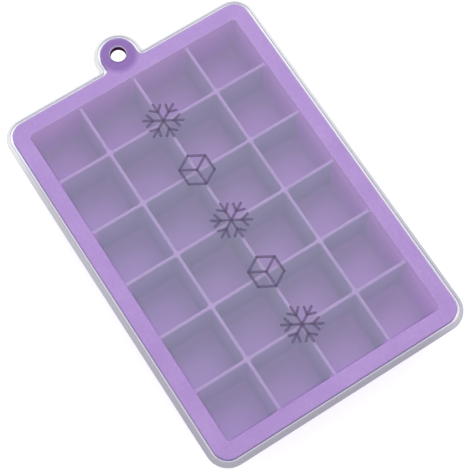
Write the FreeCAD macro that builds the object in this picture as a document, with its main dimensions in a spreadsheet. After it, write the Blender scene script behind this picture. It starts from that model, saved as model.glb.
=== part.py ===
"""A moulded ice cube tray with 24 square cells and a hanging tab, and the thin clear lid that caps its rim.

Millimetres, +Z up. The length runs along Y with the tab at +Y, and the base stands on Z = 0. The origin is
the middle of the whole footprint, tab and lid included.
"""
import FreeCAD, Part
import math
import os

import Sketcher
from FreeCAD import Placement, Rotation, Vector

SIZES = {
    # the field of cells
    "column_count": 4,
    "row_count": 6,
    "cell_size": 29.2,  # an inner cell's mouth, square
    "divider_width": 1.8,  # thickness of a divider at its top
    "edge_cell_width": 27.5,  # across X, the mouth of a cell beside the long rim
    "edge_cell_length": 27.1,  # along Y, the mouth of a cell beside the short rim
    "cell_lean": 0.9,  # how far each wall of a cell leans in from mouth to floor
    "corner_bevel": 1.5,
    "floor_round": 2.0,
    # the tray's walls and rim
    "tray_height": 29.0,
    "floor_thickness": 2.0,
    "divider_drop": 1.2,  # how far the dividers stay below the rim
    "ledge_width": 0.6,  # step between the outer cells and the rim's inner edge
    "wall_thickness": 2.2,
    "wall_corner": 5.0,
    "wall_lean": 0.6,  # how far the outer walls lean in from the rim to the base
    "base_round": 2.4,
    "rim_width": 8.2,  # flat top of the rim, from its inner edge to its outer edge
    "rim_thickness": 3.0,
    "rim_corner": 8.0,
    "opening_corner": 2.0,
    "rim_bevel": 0.6,
    "under_rim_bevel": 2.0,
    "groove_width": 2.4,  # flex grooves under the dividers
    "groove_depth": 4.5,
    # the hanging tab
    "tab_radius": 9.2,
    "tab_reach": 6.2,  # from the rim's outer edge to the middle of the tab's round head
    "tab_corner": 3.0,
    "hang_hole_radius": 3.8,
    # the lid
    "lid_clearance": 0.3,  # between the rim's outer edge and the skirt
    "lid_plate": 1.0,
    "lid_wall": 1.0,
    "lid_overlap": 0.2,  # how far the skirt reaches below the rim
    "lip_width": 2.1,
    "lip_thickness": 1.0,
    "lip_corner": 1.0,  # hollow corners where the lip turns round the tab
    "shoulder_round": 0.9,
    "lid_hole_radius": 4.1,
}

doc = FreeCAD.newDocument("ice_cube_tray")
sheet = doc.addObject("Spreadsheet::Sheet", "sizes")
for row, (alias, number) in enumerate(SIZES.items(), start=1):
    sheet.set(f"A{row}", alias)
    sheet.set(f"B{row}", str(number))
    sheet.setAlias(f"B{row}", alias)
doc.recompute()

# expressions that several features share, all worked out from the sheet
PITCH = "(sizes.cell_size + sizes.divider_width)"
FIELD_X = f"((sizes.column_count - 2) * {PITCH} + sizes.divider_width + 2 * sizes.edge_cell_width)"
FIELD_Y = f"((sizes.row_count - 2) * {PITCH} + sizes.divider_width + 2 * sizes.edge_cell_length)"
OPENING_X = f"({FIELD_X} + 2 * sizes.ledge_width)"
OPENING_Y = f"({FIELD_Y} + 2 * sizes.ledge_width)"
RIM_X = f"({OPENING_X} + 2 * sizes.rim_width)"
RIM_Y = f"({OPENING_Y} + 2 * sizes.rim_width)"
TAB_CENTRE = f"({RIM_Y} / 2 + sizes.tab_reach)"
DIVIDER_TOP = "(sizes.tray_height - sizes.divider_drop)"
RIM_BOTTOM = "(sizes.tray_height - sizes.rim_thickness)"
SKIRT_BOTTOM = f"({RIM_BOTTOM} - sizes.lid_overlap)"
LID_TOP = "(sizes.tray_height + sizes.lid_plate)"
SKIRT_INSIDE = "sizes.lid_clearance"
SKIRT_OUTSIDE = "(sizes.lid_clearance + sizes.lid_wall)"
# the frame's origin is halfway between the lip's far end and the tip of the tab's lip
LIP_OUTSIDE = f"({SKIRT_OUTSIDE} + sizes.lip_width)"
TAB_TIP = f"({TAB_CENTRE} + sizes.tab_radius + {LIP_OUTSIDE})"
FAR_END = f"({RIM_Y} / 2 + {LIP_OUTSIDE})"
FRAME_SHIFT = f"(({FAR_END} - {TAB_TIP}) / 2)"

# a sketch's own numbers for a line's or an arc's points and for its axes
START, END, CENTRE = 1, 2, 3
ORIGIN = H_AXIS = -1
V_AXIS = -2

volumes = {}  # each body's volume after its last feature


def value(expression):
    """The number that an expression on the sheet gives now."""
    return float(sheet.evalExpression(expression))


def new_body(name):
    """A body whose own origin lies below the middle of the field of cells."""
    body = doc.addObject("PartDesign::Body", name)
    body.Label = name
    body.setExpression("Placement.Base.y", FRAME_SHIFT)
    return body


def origin_feature(body, role):
    """One of the body's own origin planes or axes."""
    return next(feature for feature in body.Origin.OriginFeatures if feature.Role == role)


def new_sketch(body, name, plane="XY_Plane", height="0"):
    """A sketch on one of the body's own origin planes, raised to a height."""
    sketch = body.newObject("Sketcher::SketchObject", name)
    sketch.AttachmentSupport = [(origin_feature(body, plane), "")]
    sketch.MapMode = "FlatFace"
    sketch.AttachmentOffset = Placement(Vector(0, 0, value(height)), Rotation())
    sketch.setExpression("AttachmentOffset.Base.z", height)
    return sketch


def dimension(sketch, kind, *where, size):
    """A driving dimension bound to an expression."""
    index = sketch.addConstraint(Sketcher.Constraint(kind, *where, value(size)))
    sketch.setExpression(f"Constraints[{index}]", size)


def arc(x, y, radius, start, end):
    """An arc drawn counter-clockwise between two angles in degrees."""
    circle = Part.Circle(Vector(x, y, 0), Vector(0, 0, 1), radius)
    return Part.ArcOfCircle(circle, math.radians(start), math.radians(end))


def line(x0, y0, x1, y1):
    """A straight line between two points."""
    return Part.LineSegment(Vector(x0, y0, 0), Vector(x1, y1, 0))


def join(sketch, *pairs):
    """Tangent joints between neighbouring ends."""
    for a, a_end, b, b_end in pairs:
        sketch.addConstraint(Sketcher.Constraint("Tangent", a, a_end, b, b_end))


def rectangle(sketch, size_x, size_y, x="0", y="0"):
    """A rectangle with its middle at x, y."""
    px, py, wx, wy = value(x), value(y), value(size_x) / 2, value(size_y) / 2
    corners = [(px - wx, py - wy), (px + wx, py - wy), (px + wx, py + wy), (px - wx, py + wy)]
    sides = [line(*corners[n], *corners[(n + 1) % 4]) for n in range(4)]
    bottom, right, top, left = sketch.addGeometry(sides)
    for first, second in ((bottom, right), (right, top), (top, left), (left, bottom)):
        sketch.addConstraint(Sketcher.Constraint("Coincident", first, END, second, START))
    for flat in (bottom, top):
        sketch.addConstraint(Sketcher.Constraint("Horizontal", flat))
    for upright in (right, left):
        sketch.addConstraint(Sketcher.Constraint("Vertical", upright))
    dimension(sketch, "DistanceX", bottom, START, bottom, END, size=size_x)
    dimension(sketch, "DistanceY", right, START, right, END, size=size_y)
    dimension(sketch, "DistanceX", ORIGIN, START, right, END, size=f"({x}) + ({size_x}) / 2")
    dimension(sketch, "DistanceY", ORIGIN, START, right, END, size=f"({y}) + ({size_y}) / 2")


def tabbed_outline(sketch, outset, inner_corner):
    """The rim's outline with its tab, moved outwards by outset, with hollow corners beside the tab."""
    half_x, half_y = f"({RIM_X} / 2 + {outset})", f"({RIM_Y} / 2 + {outset})"
    corner, head = f"(sizes.rim_corner + {outset})", f"(sizes.tab_radius + {outset})"
    hx, hy, turn = value(half_x), value(half_y), value(corner)
    tab, inner, reach = value(head), value(inner_corner), value(TAB_CENTRE)
    cx, cy = hx - turn, hy - turn  # centres of the outer corners
    ix, iy = tab + inner, hy + inner  # centres of the inner corners beside the tab
    (bottom, c0, right, c1, top_right, f0, side_right, tip, side_left, f1, top_left, c2, left,
     c3) = sketch.addGeometry([
        line(-cx, -hy, cx, -hy), arc(cx, -cy, turn, 270, 360),
        line(hx, -cy, hx, cy), arc(cx, cy, turn, 0, 90),
        line(cx, hy, ix, hy), arc(ix, iy, inner, 180, 270),
        line(tab, iy, tab, reach), arc(0, reach, tab, 0, 180), line(-tab, reach, -tab, iy),
        arc(-ix, iy, inner, 270, 360), line(-ix, hy, -cx, hy),
        arc(-cx, cy, turn, 90, 180), line(-hx, cy, -hx, -cy),
        arc(-cx, -cy, turn, 180, 270),
    ])
    join(sketch, (bottom, END, c0, START), (c0, END, right, START), (right, END, c1, START),
         (c1, END, top_right, START), (top_right, END, f0, END), (f0, START, side_right, START),
         (side_right, END, tip, START), (tip, END, side_left, START), (side_left, END, f1, END),
         (f1, START, top_left, START), (top_left, END, c2, START), (c2, END, left, START),
         (left, END, c3, START), (c3, END, bottom, START))
    for flat in (bottom, top_right, top_left):
        sketch.addConstraint(Sketcher.Constraint("Horizontal", flat))
    for upright in (right, left, side_right, side_left):
        sketch.addConstraint(Sketcher.Constraint("Vertical", upright))
    for first, second in ((c0, c1), (c0, c2), (c0, c3), (f0, f1)):
        sketch.addConstraint(Sketcher.Constraint("Equal", first, second))
    sketch.addConstraint(Sketcher.Constraint("PointOnObject", tip, CENTRE, V_AXIS))
    dimension(sketch, "Radius", c0, size=corner)
    dimension(sketch, "Radius", f0, size=inner_corner)
    dimension(sketch, "Radius", tip, size=head)
    dimension(sketch, "DistanceX", ORIGIN, START, right, START, size=half_x)
    dimension(sketch, "DistanceX", left, START, ORIGIN, START, size=half_x)
    dimension(sketch, "DistanceY", ORIGIN, START, top_right, START, size=half_y)
    dimension(sketch, "DistanceY", bottom, START, ORIGIN, START, size=half_y)
    dimension(sketch, "DistanceY", ORIGIN, START, tip, CENTRE, size=TAB_CENTRE)


def circle_at_tab(sketch, radius):
    """A circle on the middle of the tab's round head."""
    circle = Part.Circle(Vector(0, value(TAB_CENTRE), 0), Vector(0, 0, 1), value(radius))
    ring = sketch.addGeometry(circle)
    sketch.addConstraint(Sketcher.Constraint("PointOnObject", ring, CENTRE, V_AXIS))
    dimension(sketch, "Radius", ring, size=radius)
    dimension(sketch, "DistanceY", ORIGIN, START, ring, CENTRE, size=TAB_CENTRE)


def finish(body, feature, grows=None):
    """Makes a feature the body's tip. Where grows is given, it has to add or take away material."""
    feature.Refine = False
    body.Tip = feature
    doc.recompute()
    if feature.Shape.isNull() or not feature.isValid():
        raise RuntimeError(f"{feature.Name} has failed")
    change = feature.Shape.Volume - volumes.get(body.Name, 0)
    volumes[body.Name] = feature.Shape.Volume
    if grows is not None and (change <= 0) == grows:
        raise RuntimeError(f"{feature.Name} changed the volume by {change:.1f} mm3")


def extrude(body, kind, name, sketch, length, upwards=True):
    """A Pad or a Pocket of one sketch."""
    feature = body.newObject(f"PartDesign::{kind}", name)
    feature.Profile = sketch
    feature.setExpression("Length", length)
    feature.Reversed = upwards == (kind == "Pocket")
    finish(body, feature, grows=kind == "Pad")


def wedge(body, kind, name, size_x, size_y, lean, low, high, x="0", y="0"):
    """A block between two heights. It is size_x by size_y at its top, and its sides lean in below."""
    block = body.newObject(f"PartDesign::{kind}Wedge", name)
    block.AttachmentSupport = [(origin_feature(body, "XY_Plane"), "")]
    block.MapMode = "FlatFace"
    block.AttachmentOffset = Placement(Vector(), Rotation(Vector(1, 0, 0), 90))
    for axis, place in (("x", x), ("y", y), ("z", low)):
        block.setExpression(f"AttachmentOffset.Base.{axis}", place)
    block.setExpression("Ymin", "0")
    block.setExpression("Ymax", f"{high} - {low}")
    for axis, size in (("X", size_x), ("Z", size_y)):
        for level, half in (("", f"({size} / 2 - {lean})"), ("2", f"({size} / 2)")):
            block.setExpression(f"{axis}{level}min", f"-{half}")
            block.setExpression(f"{axis}{level}max", half)
    finish(body, block, grows=kind == "Additive")
    return block


def repeat(body, seed, *runs):
    """Repeats a cut. Each run has an axis, a count and a step, and goes against its axis."""
    both = body.newObject("PartDesign::MultiTransform", f"{seed.Name}_all")
    both.Originals = [seed]
    steps = []
    for axis, count, step in runs:
        one = body.newObject("PartDesign::LinearPattern", f"{seed.Name}_{axis}")
        one.Direction = (origin_feature(body, f"{axis}_Axis"), [""])
        one.Reversed = True
        one.setExpression("Occurrences", count)
        one.setExpression("Length", f"({count} - 1) * {step}")
        steps.append(one)
    both.Transformations = steps
    finish(body, both, grows=False)


def cut_cells(body, kind, size_x, size_y, x, y, run_x, run_y):
    """A drafted cell with its middle at x, y, repeated along X and Y."""
    cell = wedge(body, "Subtractive", f"{kind}_cell", size_x, size_y, "sizes.cell_lean",
                 "sizes.floor_thickness", DIVIDER_TOP, x, y)
    repeat(body, cell, ("X", *run_x), ("Y", *run_y))


def cut_grooves(body, name, plane, axis, count, run):
    """V-shaped grooves right across the underside, one below each divider that runs this way."""
    first = f"(({count} - 1) / 2 * {PITCH})"
    across = new_sketch(body, f"{name}_outline", plane)
    mouth, apex = "sizes.groove_width", "sizes.groove_depth"
    middle, half, top = value(first), value(mouth) / 2, value(apex)
    corners = [(middle - half, 0), (middle + half, 0), (middle, top)]
    sides = across.addGeometry([line(*corners[n], *corners[(n + 1) % 3]) for n in range(3)])
    for n in range(3):
        across.addConstraint(Sketcher.Constraint("Coincident", sides[n], END, sides[(n + 1) % 3], START))
    across.addConstraint(Sketcher.Constraint("PointOnObject", sides[0], START, H_AXIS))
    across.addConstraint(Sketcher.Constraint("PointOnObject", sides[0], END, H_AXIS))
    dimension(across, "DistanceX", sides[0], START, sides[0], END, size=mouth)
    dimension(across, "DistanceX", sides[0], START, sides[2], START, size=f"{mouth} / 2")
    dimension(across, "DistanceY", ORIGIN, START, sides[2], START, size=apex)
    dimension(across, "DistanceX", ORIGIN, START, sides[2], START, size=first)
    cut = body.newObject("PartDesign::Pocket", name)
    cut.Profile = across
    cut.Midplane = True
    cut.setExpression("Length", run)
    finish(body, cut, grows=False)
    repeat(body, cut, (axis, count, PITCH))


def dress(body, kind, name, size, keep):
    """A Fillet or a Chamfer on every edge of the body that keep() accepts."""
    tip = body.Tip
    names = [f"Edge{n}" for n, edge in enumerate(tip.Shape.Edges, start=1) if keep(edge)]
    trim = body.newObject(f"PartDesign::{kind}", name)
    trim.Base = (tip, names)
    trim.setExpression("Radius" if kind == "Fillet" else "Size", size)
    finish(body, trim)


def between(low, high):
    """Accepts the edges that reach exactly from one height to another."""
    bottom, top = value(low), value(high)
    return lambda edge: abs(edge.BoundBox.ZMin - bottom) < 1e-3 and abs(edge.BoundBox.ZMax - top) < 1e-3


def within(size_x, size_y):
    """Accepts the edges that lie within a rectangle round the middle, or on its sides."""
    half_x, half_y = value(size_x) / 2 + 1e-3, value(size_y) / 2 + 1e-3
    return lambda edge: (max(-edge.BoundBox.XMin, edge.BoundBox.XMax) < half_x
                         and max(-edge.BoundBox.YMin, edge.BoundBox.YMax) < half_y)


def build_tray():
    """One moulding: a drafted block under a flat rim with its tab, with grooves and cells cut into it."""
    body = new_body("silicone_tray")
    wall_x = f"({FIELD_X} + 2 * sizes.wall_thickness)"
    wall_y = f"({FIELD_Y} + 2 * sizes.wall_thickness)"
    wedge(body, "Additive", "wall_block", wall_x, wall_y, "sizes.wall_lean", "0", RIM_BOTTOM)
    dress(body, "Fillet", "wall_corners", "sizes.wall_corner", between("0", RIM_BOTTOM))
    dress(body, "Fillet", "base_edge", "sizes.base_round", between("0", "0"))

    rim = new_sketch(body, "rim_outline", height=RIM_BOTTOM)
    tabbed_outline(rim, "0", "sizes.tab_corner")
    extrude(body, "Pad", "rim", rim, "sizes.rim_thickness")
    hole = new_sketch(body, "hang_hole_outline", height="sizes.tray_height")
    circle_at_tab(hole, "sizes.hang_hole_radius")
    extrude(body, "Pocket", "hang_hole", hole, "sizes.rim_thickness", upwards=False)
    opening = new_sketch(body, "opening_outline", height="sizes.tray_height")
    rectangle(opening, OPENING_X, OPENING_Y)
    extrude(body, "Pocket", "opening", opening, "sizes.divider_drop", upwards=False)
    dress(body, "Fillet", "opening_corners", "sizes.opening_corner",
          between(DIVIDER_TOP, "sizes.tray_height"))
    top, under = between("sizes.tray_height", "sizes.tray_height"), between(RIM_BOTTOM, RIM_BOTTOM)
    outer_wall = within(wall_x, wall_y)
    opening_edge = within(OPENING_X, OPENING_Y)
    dress(body, "Chamfer", "rim_edges", "sizes.rim_bevel",
          lambda edge: top(edge) and not edge.Closed and not opening_edge(edge))
    dress(body, "Chamfer", "under_rim", "sizes.under_rim_bevel",
          lambda edge: under(edge) and outer_wall(edge))

    between_columns, between_rows = "(sizes.column_count - 1)", "(sizes.row_count - 1)"
    cut_grooves(body, "long_groove", "XZ_Plane", "X", between_columns, RIM_Y)
    cut_grooves(body, "cross_groove", "YZ_Plane", "Y", between_rows, RIM_X)

    columns, rows = "(sizes.column_count - 2)", "(sizes.row_count - 2)"
    inner_x, inner_y = f"(({columns} - 1) / 2 * {PITCH})", f"(({rows} - 1) / 2 * {PITCH})"
    edge_x, edge_y = f"({FIELD_X} - sizes.edge_cell_width)", f"({FIELD_Y} - sizes.edge_cell_length)"
    cell, width, length = "sizes.cell_size", "sizes.edge_cell_width", "sizes.edge_cell_length"
    cut_cells(body, "inner", cell, cell, inner_x, inner_y, (columns, PITCH), (rows, PITCH))
    cut_cells(body, "side", width, cell, f"({edge_x} / 2)", inner_y, ("2", edge_x), (rows, PITCH))
    cut_cells(body, "end", cell, length, inner_x, f"({edge_y} / 2)", (columns, PITCH), ("2", edge_y))
    cut_cells(body, "corner", width, length, f"({edge_x} / 2)", f"({edge_y} / 2)",
              ("2", edge_x), ("2", edge_y))
    floor = "sizes.floor_thickness"
    dress(body, "Chamfer", "cell_corners", "sizes.corner_bevel", between(floor, DIVIDER_TOP))
    dress(body, "Fillet", "cell_floors", "sizes.floor_round", between(floor, floor))
    return body


def build_lid():
    """A thin cap that rests on the rim and follows its outline and tab, with a lip round the skirt's foot."""
    body = new_body("clear_lid")
    cap = new_sketch(body, "cap_outline", height=SKIRT_BOTTOM)
    tabbed_outline(cap, SKIRT_OUTSIDE, f"(sizes.tab_corner - {SKIRT_OUTSIDE})")
    extrude(body, "Pad", "cap", cap, f"({LID_TOP} - {SKIRT_BOTTOM})")
    dress(body, "Fillet", "shoulder", "sizes.shoulder_round", between(LID_TOP, LID_TOP))
    lip = new_sketch(body, "lip_outline", height=SKIRT_BOTTOM)
    tabbed_outline(lip, LIP_OUTSIDE, "sizes.lip_corner")
    extrude(body, "Pad", "lip", lip, "sizes.lip_thickness")
    inside_cap = new_sketch(body, "inside_outline", height=SKIRT_BOTTOM)
    tabbed_outline(inside_cap, SKIRT_INSIDE, f"(sizes.tab_corner - {SKIRT_INSIDE})")
    extrude(body, "Pocket", "inside", inside_cap, f"(sizes.tray_height - {SKIRT_BOTTOM})")
    hole = new_sketch(body, "lid_hole_outline", height="sizes.tray_height")
    circle_at_tab(hole, "sizes.lid_hole_radius")
    extrude(body, "Pocket", "lid_hole", hole, "sizes.lid_plate")
    return body


tray = build_tray()
lid = build_lid()
for obj in doc.Objects:
    if {"Invalid", "Error"} & set(obj.State):
        raise RuntimeError(f"{obj.Name} is {obj.State}")
os.makedirs("parts", exist_ok=True)
for body in (tray, lid):
    shape = body.Shape
    if shape.isNull() or not shape.isValid() or len(shape.Solids) != 1:
        raise RuntimeError(f"{body.Label} is not one valid solid")
    shape.exportStep(f"parts/{body.Label}.step")
    box = shape.BoundBox
    print(f"{body.Label}: {shape.Volume / 1000:.1f} cm3,"
          f" {box.XLength:.1f} x {box.YLength:.1f} x {box.ZLength:.1f} mm")
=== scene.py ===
"""A moulded ice cube tray with 24 cells and a hanging tab, and the clear lid that rests on its rim.

Metres, +Z up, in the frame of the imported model: the length runs along Y with the tab at +Y, and the base
stands on Z = 0. Every shape is a profile carried round a closed outline, worked out as whole arrays.
"""
import math

import bmesh
import bpy
import numpy as np
from bpy.props import FloatProperty, FloatVectorProperty, IntProperty, PointerProperty
from mathutils import Matrix, Vector


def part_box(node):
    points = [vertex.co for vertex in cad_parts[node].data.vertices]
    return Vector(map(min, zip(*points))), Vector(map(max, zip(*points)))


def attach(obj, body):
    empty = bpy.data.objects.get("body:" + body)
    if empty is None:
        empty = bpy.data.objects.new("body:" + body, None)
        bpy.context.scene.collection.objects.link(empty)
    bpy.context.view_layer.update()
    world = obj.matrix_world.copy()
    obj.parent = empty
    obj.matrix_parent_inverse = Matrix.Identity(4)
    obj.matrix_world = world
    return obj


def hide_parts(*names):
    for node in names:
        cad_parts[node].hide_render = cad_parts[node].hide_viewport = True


bl_info = {
    "name": "Ice cube tray with lid",
    "version": (1, 0, 0),
    "blender": (4, 5, 0),
    "location": "3D View > Sidebar > Ice tray",
    "description": "Builds a silicone ice cube tray, its clear lid with a frost pattern, and a plain stage",
    "category": "Add Mesh",
}

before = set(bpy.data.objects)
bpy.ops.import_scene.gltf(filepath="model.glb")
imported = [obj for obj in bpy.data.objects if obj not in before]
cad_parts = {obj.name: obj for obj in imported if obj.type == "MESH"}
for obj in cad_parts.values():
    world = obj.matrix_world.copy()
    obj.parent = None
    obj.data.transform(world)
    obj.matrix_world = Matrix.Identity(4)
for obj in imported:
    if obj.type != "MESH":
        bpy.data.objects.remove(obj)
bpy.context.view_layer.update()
TRAY_LOW, TRAY_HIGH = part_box("silicone_tray")
LID_LOW, LID_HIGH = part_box("clear_lid")

MM = 0.001
MERGE_WITHIN = 0.004 * MM
# strip of a level face beside a rounding, so that the face's fill starts in the face's own plane
STRIP = 0.3 * MM
# edges that turn by more than this many degrees are shaded sharp
SHARP_ABOVE = 44.0
WHITE = (1.0, 1.0, 1.0)


def length(name, millimetres, description):
    """A length property whose default is given in millimetres."""
    return FloatProperty(name=name, description=description, default=millimetres * MM, min=0.0,
                         unit="LENGTH", subtype="DISTANCE", precision=5)


def colour(name, rgb, description):
    """A colour property."""
    return FloatVectorProperty(name=name, description=description, default=rgb, size=3, min=0.0, max=1.0,
                               subtype="COLOR")


class TraySizes(bpy.types.PropertyGroup):
    """Sizes of the silicone tray."""

    columns: IntProperty(name="Columns", description="Cells across the tray", default=4, min=2)
    rows: IntProperty(name="Rows", description="Cells along the tray", default=6, min=2)
    pitch: length("Pitch", 31.0, "Distance between neighbouring dividers")
    divider: length("Divider", 1.8, "Thickness of a divider at its top")
    edge_width: length("Edge cell width", 27.5, "Mouth of a cell beside the long rim, across the tray")
    edge_length: length("Edge cell length", 27.1, "Mouth of a cell beside the short rim, along the tray")
    ledge: length("Ledge", 0.6, "Step between the outer cells and the rim's inner edge")
    lean: length("Lean", 0.9, "How far a cell's walls lean in from mouth to floor")
    floor: length("Floor", 2.0, "Thickness of the floor")
    drop: length("Divider drop", 1.2, "How far the dividers stay below the rim")
    mouth_round: length("Mouth round", 0.85, "Rounding along the top of the dividers")
    mouth_corner: length("Mouth corner", 1.3, "Radius of a cell's corners at its mouth")
    foot_corner: length("Foot corner", 4.0, "Radius of a cell's corners at its foot")
    floor_round: length("Floor round", 3.6, "Rounding between the walls and the floor of a cell")
    rim: length("Rim", 8.2, "Width of the rim's flat top")
    rim_thickness: length("Rim thickness", 3.0, "Thickness of the rim")
    rim_corner: length("Rim corner", 8.0, "Radius of the rim's outer corners")
    rim_round: length("Rim round", 0.6, "Rounding along the rim's outer edge")
    opening_corner: length("Opening corner", 2.0, "Radius of the rim's inner corners")
    wall: length("Wall", 2.2, "Thickness of the outer wall")
    wall_corner: length("Wall corner", 5.0, "Radius of the outer wall's corners")
    wall_lean: length("Wall lean", 0.6, "How far the outer wall leans in from the rim to the base")
    base_round: length("Base round", 2.4, "Rounding between the outer wall and the base")
    cove: length("Cove", 2.0, "Hollow rounding below the rim")
    groove: length("Groove", 2.4, "Width of the flex grooves below the dividers")
    groove_depth: length("Groove depth", 4.5, "Depth of the flex grooves")
    tab: length("Tab", 9.2, "Radius of the tab's round head")
    tab_reach: length("Tab reach", 6.2, "From the rim's outer edge to the middle of the tab's head")
    tab_corner: length("Tab corner", 3.0, "Radius of the hollow corners beside the tab")
    hole: length("Hole", 3.8, "Radius of the hanging hole")


class LidSizes(bpy.types.PropertyGroup):
    """Sizes of the clear lid."""

    gap: length("Gap", 0.3, "Between the rim's outer edge and the skirt")
    sheet: length("Sheet", 1.0, "Thickness of the lid's plate and skirt")
    air: length("Air", 0.07, "Air film between the plate and the rim that it rests on")
    shoulder: length("Shoulder", 0.9, "Rounding between the plate and the skirt")
    lip: length("Lip", 2.1, "Width of the lip round the skirt's foot")
    lip_corner: length("Lip corner", 1.0, "Radius of the hollow corners where the lip turns round the tab")
    lip_thickness: length("Lip thickness", 1.0, "Thickness of the lip")
    hole: length("Hole", 4.1, "Radius of the hole over the tray's hanging hole")


class PatternSizes(bpy.types.PropertyGroup):
    """Sizes of the raised frost pattern on the lid."""

    spacing: length("Spacing", 31.0, "Between neighbouring figures")
    reach: length("Reach", 10.0, "From the middle of a figure to its tips")
    stroke: length("Stroke", 1.3, "Width of a line")
    relief: length("Relief", 0.3, "Height of a line above the plate")


class TrayColours(bpy.types.PropertyGroup):
    """Colours of the tray, the lid and the floor."""

    silicone: colour("Silicone", (0.362, 0.213, 0.542), "Lilac of the silicone")
    silicone_pale: colour("Pale silicone", (0.415, 0.257, 0.600), "Paler clouds in the silicone")
    # painted light: a rosy glow on the outer walls of the cells, standing in for light shining through the
    # silicone
    silicone_wall_glow: colour("Rosy silicone", (0.670, 0.238, 0.860), "Outer walls of the cells")
    # painted light: paler floors in the cells, standing in for light shining through the thin floors
    silicone_floor_light: colour("Floor light", (0.450, 0.225, 0.700), "Painted light on the cells' floors")
    # painted shade: a cooler grey-blue on the shaded sides of the dividers
    silicone_divider_shade: colour("Cool silicone", (0.350, 0.255, 0.590), "Sides of the dividers")
    # painted light: a warmer pink on the floors of the cells on the right
    silicone_right_glow: colour("Warm silicone", (0.750, 0.260, 0.850), "Trace of warmth in the cells on the right")
    # painted shading: a rosier tone in the cells by the tab
    silicone_far_shading: colour("Far silicone", (0.450, 0.110, 0.640), "Trace of pink in the cells by the tab")
    silicone_deep: colour("Deep silicone", (0.225, 0.105, 0.390), "Deeper lilac of the tab")
    # painted shade: a darker line along the rim's outer edge
    silicone_edge_shade: colour("Edge silicone", (0.190, 0.125, 0.360), "The rim's outer edge")
    hole: colour("Hole", (0.060, 0.004, 0.040), "Deep shade of the hanging hole's wall")
    plastic: colour("Plastic", (0.62, 0.66, 0.71), "Haze of the clear lid")
    smoke: colour("Smoke", (0.60, 0.58, 0.69), "What the lid's skirt and edges let through")
    lip: colour("Lip", (0.755, 0.765, 0.765), "What the lid's lip lets through at the tab's end")
    # painted shade: the lip is darker towards the near end, where shade lies under it
    lip_near_shade: colour("Near lip", (0.62, 0.615, 0.65), "Painted shade on the lid's lip at the near end")
    pattern: colour("Pattern", (0.12, 0.09, 0.19), "Tint of the raised pattern")
    floor: colour("Floor", (0.75, 0.75, 0.75), "Plain pale floor")


class IceTray(bpy.types.PropertyGroup):
    """Everything that can be changed."""

    tray: PointerProperty(type=TraySizes)
    lid: PointerProperty(type=LidSizes)
    pattern: PointerProperty(type=PatternSizes)
    colours: PointerProperty(type=TrayColours)


# outlines


def rounded_rings(low, high, corners, arc_steps, side_steps):
    """Closed rings round rectangles with rounded corners.

    low and high are the rectangles' corners and corners their four radii. A ring starts in the middle of the
    first corner and runs counter-clockwise. A point is its corner's centre plus the radius times its outward
    normal, and along a side it slides from the end of one corner's arc to the start of the next.
    """
    per_side = 2 * arc_steps + side_steps
    side = np.repeat(np.arange(4), per_side)
    after = (side + 1) % 4
    step = np.tile(np.arange(per_side), 4)
    eighths = np.clip(step / arc_steps, 0, 1) + np.clip((step - arc_steps - side_steps) / arc_steps, 0, 1)
    turn = np.radians(225 + 90 * side + 45 * eighths)
    share = np.clip((step - arc_steps) / side_steps, 0, 1)[:, None]
    normal = np.stack([np.cos(turn), np.sin(turn)], axis=-1)
    inward = np.array([(1, 1), (-1, 1), (-1, -1), (1, -1)])
    across = np.stack([low[..., 0], high[..., 0], high[..., 0], low[..., 0]], axis=-1)
    along = np.stack([low[..., 1], low[..., 1], high[..., 1], high[..., 1]], axis=-1)
    centres = np.stack([across, along], axis=-1) + inward * corners[..., None]
    first = centres[..., side, :] + corners[..., side, None] * normal
    second = centres[..., after, :] + corners[..., after, None] * normal
    return first * (1 - share) + second * share


def tabbed_rings(tray, outset, inner_corner):
    """The rim's outline with its tab, once for each outset.

    The outline is seven arcs joined by straight lines. A point is its arc's centre plus the radius times the
    outward normal, with a negative radius in the two hollow corners beside the tab.
    """
    half = rim_half(tray)
    half_x, half_y = half[0] + outset, half[1] + outset
    turn, head = tray.rim_corner + outset, tray.tab + outset
    corner_x, corner_y = half_x - turn, half_y - turn
    inner_x, inner_y = head + inner_corner, half_y + inner_corner
    reach = np.full_like(outset, half[1] + tray.tab_reach, dtype=float)
    level = np.zeros_like(reach)
    centres = np.stack([
        np.stack([corner_x, corner_x, inner_x, level, -inner_x, -corner_x, -corner_x], axis=-1),
        np.stack([-corner_y, corner_y, inner_y, reach, inner_y, corner_y, -corner_y], axis=-1),
    ], axis=-1)
    radii = np.stack([turn, turn, -inner_corner, head, -inner_corner, turn, turn], axis=-1)
    start = np.array([270, 0, 90, 0, 180, 90, 180])
    sweep = np.array([90, 90, -90, 180, -90, 90, 90])
    arc_steps = np.array([9, 9, 6, 28, 6, 9, 9])
    line_steps = np.array([14, 5, 2, 2, 5, 14, 10])
    arc = np.repeat(np.arange(7), arc_steps + line_steps)
    after = (arc + 1) % 7
    step = np.concatenate([np.arange(count) for count in arc_steps + line_steps])
    angle = np.radians(start[arc] + sweep[arc] * np.clip(step / arc_steps[arc], 0, 1))
    share = np.clip((step - arc_steps[arc]) / line_steps[arc], 0, 1)[:, None]
    normal = np.stack([np.cos(angle), np.sin(angle)], axis=-1)
    first = centres[:, arc] + radii[:, arc, None] * normal
    second = centres[:, after] + radii[:, after, None] * normal
    return first * (1 - share) + second * share + field_centre(tray)


def circles(centre, radii, steps=48):
    """Circles round one centre, one for each radius."""
    turn = np.arange(steps) * 2 * np.pi / steps
    ring = np.stack([np.cos(turn), np.sin(turn)], axis=-1)
    return np.asarray(radii)[:, None, None] * ring + centre


def raised(rings, heights):
    """Rings of points in the plane with a height for each ring."""
    heights = np.broadcast_to(np.asarray(heights)[..., None, None], rings.shape[:-1] + (1,))
    return np.concatenate([rings, heights], axis=-1)


def quarter(steps, start, end):
    """Cosine and sine at even steps between two angles in degrees."""
    angle = np.radians(np.linspace(start, end, steps + 1))
    return np.cos(angle), np.sin(angle)


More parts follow.
